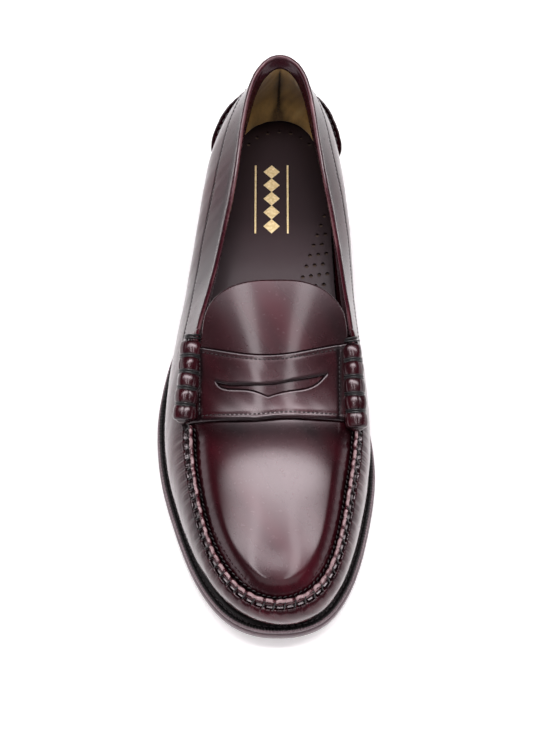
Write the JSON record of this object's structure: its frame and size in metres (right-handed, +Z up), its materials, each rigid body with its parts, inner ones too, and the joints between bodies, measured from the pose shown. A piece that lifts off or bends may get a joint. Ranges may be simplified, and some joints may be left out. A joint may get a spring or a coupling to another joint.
{
  "type": "penny loafer",
  "caption": "Right penny loafer: hand-sewn moccasin upper with apron, slotted saddle strap and beef rolls on a stitched leather sole with a stacked heel.",
  "frame": {"origin": "middle of the shoe's box, on the ground", "axes": "+Z up, -Y towards the toe, +X towards the medial side"},
  "size_m": [0.1081, 0.2944, 0.0845],
  "materials": {
    "upper_leather": "polished oxblood calf with darker edges and creases",
    "binding_leather": "rolled oxblood edge binding",
    "lining_leather": "smooth dark burgundy lining",
    "suede": "tan brown suede nap",
    "board": "plain fibre board",
    "cork": "granulated cork",
    "steel": "plain spring steel",
    "sock_leather": "smooth dark burgundy sock with punched holes",
    "foil": "thin gold foil stamping",
    "sole_leather": "stained and waxed sole leather",
    "welt_leather": "black wheeled welt",
    "heel_rubber": "black moulded rubber",
    "waxed_thread": "thick black waxed thread",
    "fine_thread": "fine dark thread"
  },
  "bodies": {
    "root": {"apron": "upper_leather", "beef_roll_lateral": "upper_leather", "beef_roll_medial": "upper_leather", "collar_stitching": "fine_thread", "cork_filler": "cork", "heel_counter": "board", "heel_cup": "upper_leather", "heel_lift_lower": "sole_leather", "heel_lift_middle": "sole_leather", "heel_lift_upper": "sole_leather", "heel_lining": "suede", "heel_nails": "steel", "heel_seam_thread": "waxed_thread", "heel_top_piece": "heel_rubber", "insole": "board", "lateral_lining": "lining_leather", "medial_lining": "lining_leather", "moc_seam_thread": "waxed_thread", "outsole": "sole_leather", "roll_thread_lateral": "waxed_thread", "roll_thread_medial": "waxed_thread", "saddle_strap": "upper_leather", "shank": "steel", "sock_lining": "sock_leather", "sock_ornament": "foil", "strap_stitching": "fine_thread", "tongue_lining": "lining_leather", "topline_binding": "binding_leather", "vamp": "upper_leather", "vamp_lining": "lining_leather", "welt": "welt_leather", "welt_stitching": "fine_thread"}
  },
  "joints": []
}
